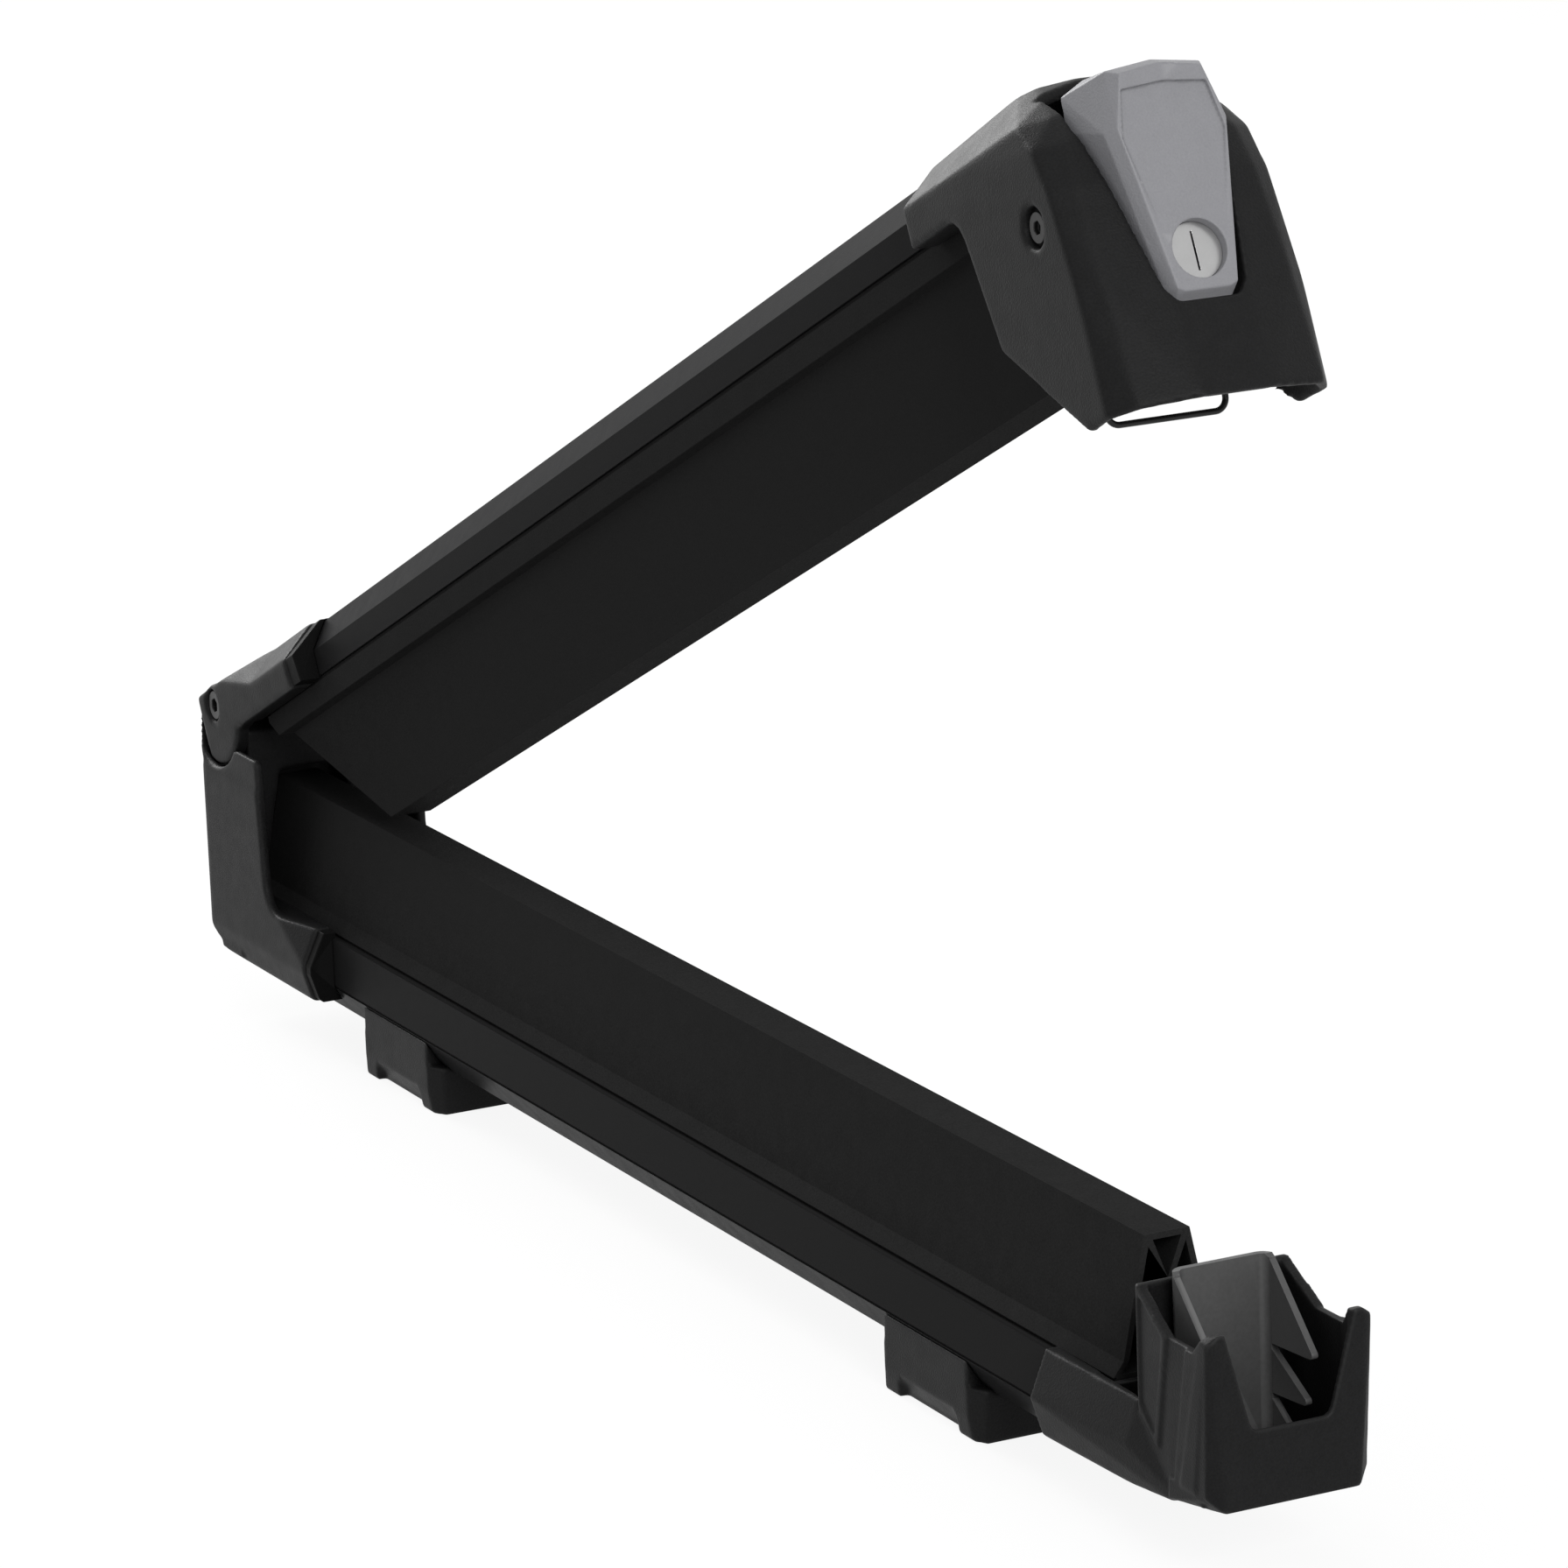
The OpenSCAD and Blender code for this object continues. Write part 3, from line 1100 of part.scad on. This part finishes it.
// Wire bail: two legs, a foot that hooks under the teeth, and ends turned into the button's lugs
module bail() {
    half = (bail_w - bail_d) / 2;
    top_u = lock_u - 5;
    top_w = -50;
    foot_u = lock_u - bail_back;
    leg_angle = atan2(top_u - foot_u, bail_drop + top_w);
    leg_len = norm([top_u - foot_u, bail_drop + top_w]);
    turn = 1.4;
    color(steel) on_arm() translate([top_u, 0, top_w]) rotate([0, leg_angle, 0]) {
        for (side = [0, 1]) mirror([0, side, 0]) {
            translate([0, half, -leg_len + bail_bend]) cylinder(d = bail_d, h = leg_len - bail_bend - turn);
            translate([0, half - bail_bend, -leg_len + bail_bend]) rotate([-90, 0, 90]) bend(bail_bend);
            translate([0, half - turn, -turn]) rotate([90, 0, 90]) bend(turn);
            pin_y(bail_d, 12.5, half - turn);
        }
        translate([0, 0, -leg_len]) pin_y(bail_d, -half + bail_bend, half - bail_bend);
    }
}

// Quarter bend of the bail's wire
module bend(r) {
    rotate_extrude(angle = 90) translate([r, 0]) circle(d = bail_d);
}

module key_disc() {
    key_face = lock_u + button_face - 2.4 - key_recess;
    slot_w = 0.6;
    color(silver) on_arm() translate([0, 0, -key_drop]) difference() {
        union() {
            pin_x(key_d, key_face - 2.5, key_face);
            pin_x(core_d, lock_u + 1.5, key_face - 2);
        }
        translate([key_face - 8, -slot_w / 2, -6]) cube([20, slot_w, 12]);
    }
}

module lock_cam() {
    color(zinc) on_arm() translate([lock_u, 0, -key_drop]) along_x(-0.5, 2) union() {
        circle(d = core_d);
        translate([-3.5, -10]) square([7, 10]);
    }
}

base_profile();
base_pad();
hinge_bracket();
base_collar();
hinge_bushes();
hinge_washers();
bracket_screws();
catch_cup();
ratchet_plate();
ratchet_screws();
cup_screws();
foot_rear();
foot_front();
slot_nuts();
arm_profile();
arm_pad();
arm_bracket();
arm_collar();
hinge_bolt();
hinge_nut();
arm_bracket_screws();
lock_housing();
housing_screws();
lock_pin();
lock_pin_nut();
return_spring();
push_button();
lock_barrel();
bail();
key_disc();
lock_cam();
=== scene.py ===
"""Looks of the roof ski carrier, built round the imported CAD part. All lengths are in metres."""

import json
import math

import bmesh
import bpy
from mathutils import Matrix, Vector


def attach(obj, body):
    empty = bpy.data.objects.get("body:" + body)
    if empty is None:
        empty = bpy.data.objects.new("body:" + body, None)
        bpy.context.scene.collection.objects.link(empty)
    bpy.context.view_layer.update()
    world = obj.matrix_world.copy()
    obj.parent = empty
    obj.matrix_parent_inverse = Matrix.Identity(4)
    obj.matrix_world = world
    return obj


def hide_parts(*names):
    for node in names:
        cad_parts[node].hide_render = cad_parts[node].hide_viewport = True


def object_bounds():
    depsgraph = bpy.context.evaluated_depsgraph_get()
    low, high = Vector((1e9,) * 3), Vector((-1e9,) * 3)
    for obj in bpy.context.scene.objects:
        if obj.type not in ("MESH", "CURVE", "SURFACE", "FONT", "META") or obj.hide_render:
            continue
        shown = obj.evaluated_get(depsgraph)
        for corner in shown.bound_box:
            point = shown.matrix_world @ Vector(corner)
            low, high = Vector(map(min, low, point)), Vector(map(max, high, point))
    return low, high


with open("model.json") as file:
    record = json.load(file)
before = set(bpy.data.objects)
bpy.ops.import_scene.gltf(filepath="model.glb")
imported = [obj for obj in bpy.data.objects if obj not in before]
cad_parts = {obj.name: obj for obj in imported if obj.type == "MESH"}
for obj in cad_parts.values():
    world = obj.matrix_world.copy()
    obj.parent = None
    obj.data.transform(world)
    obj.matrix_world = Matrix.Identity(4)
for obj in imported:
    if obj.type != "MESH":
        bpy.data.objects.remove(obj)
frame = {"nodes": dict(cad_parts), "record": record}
cad_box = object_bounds()

MM = 0.001

# Camera of the photograph, found from the vanishing points of the extrusions
CAMERA_AT = Vector((2.2034, -1.0481, 0.7971))
CAMERA_RIGHT = Vector((0.45016, 0.89219, -0.03680))
CAMERA_UP = Vector((-0.20971, 0.14569, 0.96685))
CAMERA_BACK = Vector((0.86797, -0.42752, 0.25268))
SENSOR_MM = 36
LENS_MM = 168.84

# Nodes given a finish apart from the others in their material slot; the collars' darker black is painted
# shade
OWN_FINISH = {"base_collar": "collar_shaded_black", "arm_collar": "collar_shaded_black", "ratchet_plate": "toothed_plate"}

# Noise of the finishes, in grains per metre, and its shares in their colour
PATCHES = 140
MOULD_GRAIN = 1500
GRAIN_SHARE = 0.85
PATCH_SHARE = 0.12
GRAIN_DEPTH = 0.2 * MM

# Blender's pointiness, 0.5 where flat, at which edges pale, as wear and painted highlight, and grooves
# darken, as painted shade, and by how much
EDGE_START, EDGE_END, EDGE_SHARE = 0.52, 0.59, 0.7
GROOVE_END, GROOVE_START, GROOVE_SHADE_SHARE = 0.43, 0.495, 0.8
GROOVE_SHADE_DARKER = 3

# Edge rounding of each machined or extruded node, in millimetres
EDGES = {
    "base_profile": 0.3,
    "base_pad": 0.9,
    "base_collar": 0.4,
    "ratchet_plate": 0.45,
    "arm_profile": 0.3,
    "arm_pad": 0.9,
    "arm_collar": 0.4,
    "hinge_bolt": 0.4,
    "hinge_nut": 0.4,
    "lock_pin": 0.35,
    "lock_pin_nut": 0.35,
    "key_disc": 0.5,
}
SMALLEST_CORNER = math.radians(16)

# Mesh size in millimetres and softening passes of each moulded node, whose corners run into one another
MOULDED = {
    "hinge_bracket": (0.7, 18),
    "arm_bracket": (0.7, 30),
    "catch_cup": (0.7, 4),
    "foot_rear": (0.7, 8),
    "foot_front": (0.7, 8),
    "lock_housing": (0.7, 22),
    "push_button": (0.35, 4),
}
FACES_KEPT = 0.25

# Light on the object, and a floor that shows white and keeps a soft shadow
AMBIENT = 0.4
FLOOR_HALF = 12
FLOOR_GREY = 0.45
FLOOR_GLOW = 1.205
GLOW_SHARE = 0.75
LAMPS_AIM = (0, 0, 0.2)


def tree_of(material):
    material.use_nodes = True
    nodes = material.node_tree.nodes
    return nodes, material.node_tree.links, nodes["Principled BSDF"]


def noise(nodes, links, scale, detail):
    """A noise texture in the part's own coordinates; scale is in grains per metre."""
    place = nodes.new("ShaderNodeTexCoord")
    texture = nodes.new("ShaderNodeTexNoise")
    texture.inputs["Scale"].default_value = scale
    texture.inputs["Detail"].default_value = detail
    links.new(place.outputs["Object"], texture.inputs["Vector"])
    return texture.outputs["Fac"]


def remap(nodes, links, source, low, high, start=0.35, end=0.65):
    """The source's middle range spread from low to high."""
    node = nodes.new("ShaderNodeMapRange")
    for name, value in (("From Min", start), ("From Max", end), ("To Min", low), ("To Max", high)):
        node.inputs[name].default_value = value
    links.new(source, node.inputs["Value"])
    return node.outputs["Result"]


def blend(nodes, links, factor, first, second):
    """A colour from first, a plain colour or a socket, to the plain colour second by factor."""
    node = nodes.new("ShaderNodeMix")
    node.data_type = "RGBA"
    if isinstance(first, tuple):
        node.inputs[6].default_value = (*first, 1)
    else:
        links.new(first, node.inputs[6])
    node.inputs[7].default_value = (*second, 1)
    links.new(factor, node.inputs["Factor"])
    return node.outputs[2]


def mottle(nodes, links, fine, broad):
    """Fine grain with a little of the broad patches."""
    node = nodes.new("ShaderNodeMath")
    node.operation = "MULTIPLY_ADD"
    node.inputs[1].default_value = GRAIN_SHARE
    links.new(fine, node.inputs[0])
    links.new(remap(nodes, links, broad, 0, PATCH_SHARE), node.inputs[2])
    return node.outputs[0]


def paint_edge_wear_highlight_and_groove_shade(nodes, links, colour, edge_wear_and_highlight, dark):
    """Pales the outer edges of a colour, as wear and a painted highlight, and darkens its grooves with
    painted shade.
    """
    shape = nodes.new("ShaderNodeNewGeometry").outputs["Pointiness"]
    # Convex edges paled: wear, and a painted highlight
    edge = remap(nodes, links, shape, 0, EDGE_SHARE, EDGE_START, EDGE_END)
    # Grooves darkened towards a third of the dark colour: painted shade
    groove = remap(nodes, links, shape, GROOVE_SHADE_SHARE, 0, GROOVE_END, GROOVE_START)
    colour = blend(nodes, links, edge, colour, edge_wear_and_highlight)
    return blend(nodes, links, groove, colour, [value / GROOVE_SHADE_DARKER for value in dark])


def add_relief(nodes, links, height, strength, shader):
    relief = nodes.new("ShaderNodeBump")
    relief.inputs["Strength"].default_value = strength
    relief.inputs["Distance"].default_value = GRAIN_DEPTH
    links.new(height, relief.inputs["Height"])
    links.new(relief.outputs["Normal"], shader.inputs["Normal"])


def finish_material(name, dark, light, roughness, grain, bump, metallic=0, specular=0.5, edge_wear_and_highlight=None):
    """A procedural finish: mottled colour, uneven gloss, fine grain, edges paled as wear and painted
    highlight, and grooves darkened as painted shade.
    """
    material = bpy.data.materials.new(name)
    nodes, links, shader = tree_of(material)
    fine = noise(nodes, links, grain, 2)
    broad = noise(nodes, links, PATCHES, 4)
    colour = blend(nodes, links, mottle(nodes, links, fine, broad), dark, light)
    # Paler edges are wear and painted highlight, darker grooves are painted shade
    if edge_wear_and_highlight:
        colour = paint_edge_wear_highlight_and_groove_shade(nodes, links, colour, edge_wear_and_highlight, dark)
    links.new(colour, shader.inputs["Base Color"])
    links.new(remap(nodes, links, broad, roughness - 0.02, roughness + 0.03), shader.inputs["Roughness"])
    add_relief(nodes, links, fine, bump, shader)
    shader.inputs["Metallic"].default_value = metallic
    shader.inputs["Specular IOR Level"].default_value = specular
    return material


def grey(value, blue=0.0):
    """A grey, with its blue raised by a share."""
    return (value, value, value * (1 + blue))


def make_materials():
    """A finish for each of the record's material slots, and the nodes' own ones."""
    # The edge colours of these finishes pale the edges, as wear and painted highlight
    return {
        "black_aluminium": finish_material(
            "anodised_black", dark=grey(0.012), light=grey(0.024, 0.05), edge_wear_and_highlight=grey(0.02),
            roughness=0.32, specular=0.008, grain=MOULD_GRAIN, bump=0.15),
        "pad_rubber": finish_material(
            "pad_rubber", dark=grey(0.013), light=grey(0.038), edge_wear_and_highlight=grey(0.03),
            roughness=0.62, specular=0.002, grain=MOULD_GRAIN, bump=0.7),
        "black_plastic": finish_material(
            "moulded_black", dark=grey(0.003), light=grey(0.016, 0.03), edge_wear_and_highlight=grey(0.05),
            roughness=0.5, specular=0.105, grain=MOULD_GRAIN, bump=0.7),
        "grey_plastic": finish_material(
            "moulded_grey", dark=grey(0.24, 0.06), light=grey(0.30, 0.06), edge_wear_and_highlight=grey(0.33, 0.05),
            roughness=0.45, specular=0.2, grain=MOULD_GRAIN, bump=0.6),
        # Painted shade: a darker copy of the moulded black for the collars
        "collar_shaded_black": finish_material(
            "collar_shaded_black", dark=grey(0.003), light=grey(0.006), edge_wear_and_highlight=grey(0.012),
            roughness=0.45, specular=0.03, grain=MOULD_GRAIN, bump=0.4),
        "bush_plastic": finish_material(
            "acetal", dark=grey(0.55), light=grey(0.62),
            roughness=0.4, grain=800, bump=0.1),
        "zinc_steel": finish_material(
            "zinc_plate", dark=grey(0.36), light=grey(0.5, 0.03),
            roughness=0.33, metallic=1, grain=600, bump=0.1),
        "dark_steel": finish_material(
            "dark_steel", dark=grey(0.012), light=grey(0.02), edge_wear_and_highlight=grey(0.05),
            roughness=0.3, metallic=0.2, specular=0.25, grain=500, bump=0.12),
        "toothed_plate": finish_material(
            "toothed_plate", dark=grey(0.07), light=grey(0.10), edge_wear_and_highlight=grey(0.16),
            roughness=0.4, metallic=0.1, specular=0.25, grain=700, bump=0.15),
        "silver_plate": finish_material(
            "satin_nickel", dark=grey(0.40), light=grey(0.43),
            roughness=0.3, metallic=1, grain=1200, bump=0.05),
    }


def copy_of(node, material, body):
    """A clean copy of a CAD node that stands for it."""
    mesh = frame["nodes"][node].data.copy()
    form = bmesh.new()
    form.from_mesh(mesh)
    bmesh.ops.remove_doubles(form, verts=form.verts, dist=0.002 * MM)
    bmesh.ops.dissolve_limit(form, angle_limit=math.radians(1), verts=form.verts, edges=form.edges)
    form.to_mesh(mesh)
    form.free()
    mesh.materials.clear()
    mesh.materials.append(material)
    for polygon in mesh.polygons:
        polygon.use_smooth = True
    piece = bpy.data.objects.new(node + "_form", mesh)
    bpy.context.scene.collection.objects.link(piece)
    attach(piece, body)
    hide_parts(node)
    return piece


def add_shading(piece):
    """Keeps flat faces flat between their rounded corners."""
    shading = piece.modifiers.new("shading", "WEIGHTED_NORMAL")
    shading.weight = 100
    shading.keep_sharp = True


def round_corners(piece, width):
    rounding = piece.modifiers.new("rounding", "BEVEL")
    rounding.width = width * MM
    rounding.segments = 3
    rounding.limit_method = "ANGLE"
    rounding.angle_limit = SMALLEST_CORNER
    rounding.use_clamp_overlap = True
    rounding.miter_outer = "MITER_ARC"
    add_shading(piece)


def soften(piece, size, passes):
    """Rounds a moulded form all over: a fine even mesh, relaxed, then thinned out again."""
    grain = piece.modifiers.new("grain", "REMESH")
    grain.mode = "VOXEL"
    grain.voxel_size = size * MM
    grain.use_smooth_shade = True
    relax = piece.modifiers.new("relax", "SMOOTH")
    relax.factor = 0.5
    relax.iterations = passes
    thin = piece.modifiers.new("thin", "DECIMATE")
    thin.ratio = FACES_KEPT
    add_shading(piece)


def dress_parts(materials):
    """Rounds the nodes that show and gives every other node its finish."""
    record = frame["record"]
    slots = {entry["node"]: entry["material_slot"] for entry in record["subparts"]}
    body_of = {node: body for body, nodes in record["behaviour"]["bodies"].items() for node in nodes}
    for node, item in frame["nodes"].items():
        material = materials[OWN_FINISH.get(node, slots[node])]
        if node in EDGES:
            round_corners(copy_of(node, material, body_of[node]), EDGES[node])
        elif node in MOULDED:
            soften(copy_of(node, material, body_of[node]), *MOULDED[node])
        else:
            for holder in item.material_slots:
                holder.material = material


def white_for_view(nodes, links, white, plain, output):
    """Shows white to camera, gloss and glass, and plain to everything else."""
    path = nodes.new("ShaderNodeLightPath")
    seen = nodes.new("ShaderNodeMath")
    seen.operation = "MAXIMUM"
    either = nodes.new("ShaderNodeMath")
    either.operation = "MAXIMUM"
    mix = nodes.new("ShaderNodeMixShader")
    links.new(path.outputs["Is Camera Ray"], seen.inputs[0])
    links.new(path.outputs["Is Glossy Ray"], seen.inputs[1])
    links.new(seen.outputs[0], either.inputs[0])
    links.new(path.outputs["Is Transmission Ray"], either.inputs[1])
    links.new(either.outputs[0], mix.inputs[0])
    links.new(plain, mix.inputs[1])
    links.new(white, mix.inputs[2])
    links.new(mix.outputs[0], output)


def make_world():
    world = bpy.data.worlds.new("studio")
    bpy.context.scene.world = world
    world.use_nodes = True
    nodes, links = world.node_tree.nodes, world.node_tree.links
    plain = nodes["Background"]
    plain.inputs["Color"].default_value = (1, 1, 1, 1)
    plain.inputs["Strength"].default_value = AMBIENT
    white = nodes.new("ShaderNodeBackground")
    white.inputs["Color"].default_value = (1, 1, 1, 1)
    white.inputs["Strength"].default_value = 1
    white_for_view(nodes, links, white.outputs[0], plain.outputs[0], nodes["World Output"].inputs["Surface"])


def make_floor(height):
    mesh = bpy.data.meshes.new("floor")
    corners = [(x * FLOOR_HALF, y * FLOOR_HALF, height) for x, y in ((-1, -1), (1, -1), (1, 1), (-1, 1))]
    mesh.from_pydata(corners, [], [(0, 1, 2, 3)])
    floor = bpy.data.objects.new("floor", mesh)
    bpy.context.scene.collection.objects.link(floor)
    material = bpy.data.materials.new("floor")
    nodes, links, shader = tree_of(material)
    shader.inputs["Base Color"].default_value = (*grey(FLOOR_GREY), 1)
    shader.inputs["Roughness"].default_value = 0.9
    shader.inputs["Specular IOR Level"].default_value = 0
    glow = nodes.new("ShaderNodeEmission")
    glow.inputs["Strength"].default_value = FLOOR_GLOW
    half_white = nodes.new("ShaderNodeMixShader")
    half_white.inputs[0].default_value = GLOW_SHARE
    links.new(shader.outputs[0], half_white.inputs[1])
    links.new(glow.outputs[0], half_white.inputs[2])
    white_for_view(nodes, links, half_white.outputs[0], shader.outputs[0],
                   nodes["Material Output"].inputs["Surface"])
    mesh.materials.append(material)


def area_lamp(name, place, size, power):
    lamp = bpy.data.lights.new(name, "AREA")
    lamp.shape = "SQUARE"
    lamp.size = size
    lamp.energy = power
    holder = bpy.data.objects.new(name, lamp)
    holder.location = place
    holder.rotation_mode = "QUATERNION"
    holder.rotation_quaternion = (Vector(LAMPS_AIM) - Vector(place)).to_track_quat("-Z", "Y")
    bpy.context.scene.collection.objects.link(holder)


def make_lamps():
    area_lamp("top", (-0.7, 0.4, 2.4), size=2.0, power=8)
    area_lamp("front", (2.9, -0.4, 1.5), size=1.2, power=50)
    area_lamp("rear_left", (-2.9, -0.3, 1.6), size=1.3, power=75)


def make_camera():
    data = bpy.data.cameras.new("camera")
    data.sensor_width = SENSOR_MM
    data.lens = LENS_MM
    data.clip_end = 100
    camera = bpy.data.objects.new("camera", data)
    axes = Matrix((CAMERA_RIGHT, CAMERA_UP, CAMERA_BACK)).transposed()
    camera.matrix_world = Matrix.Translation(CAMERA_AT) @ axes.to_4x4()
    bpy.context.scene.collection.objects.link(camera)
    bpy.context.scene.camera = camera


make_camera()
dress_parts(make_materials())
make_world()
make_floor(cad_box[0].z)
make_lamps()
bpy.context.scene.view_settings.view_transform = "Standard"
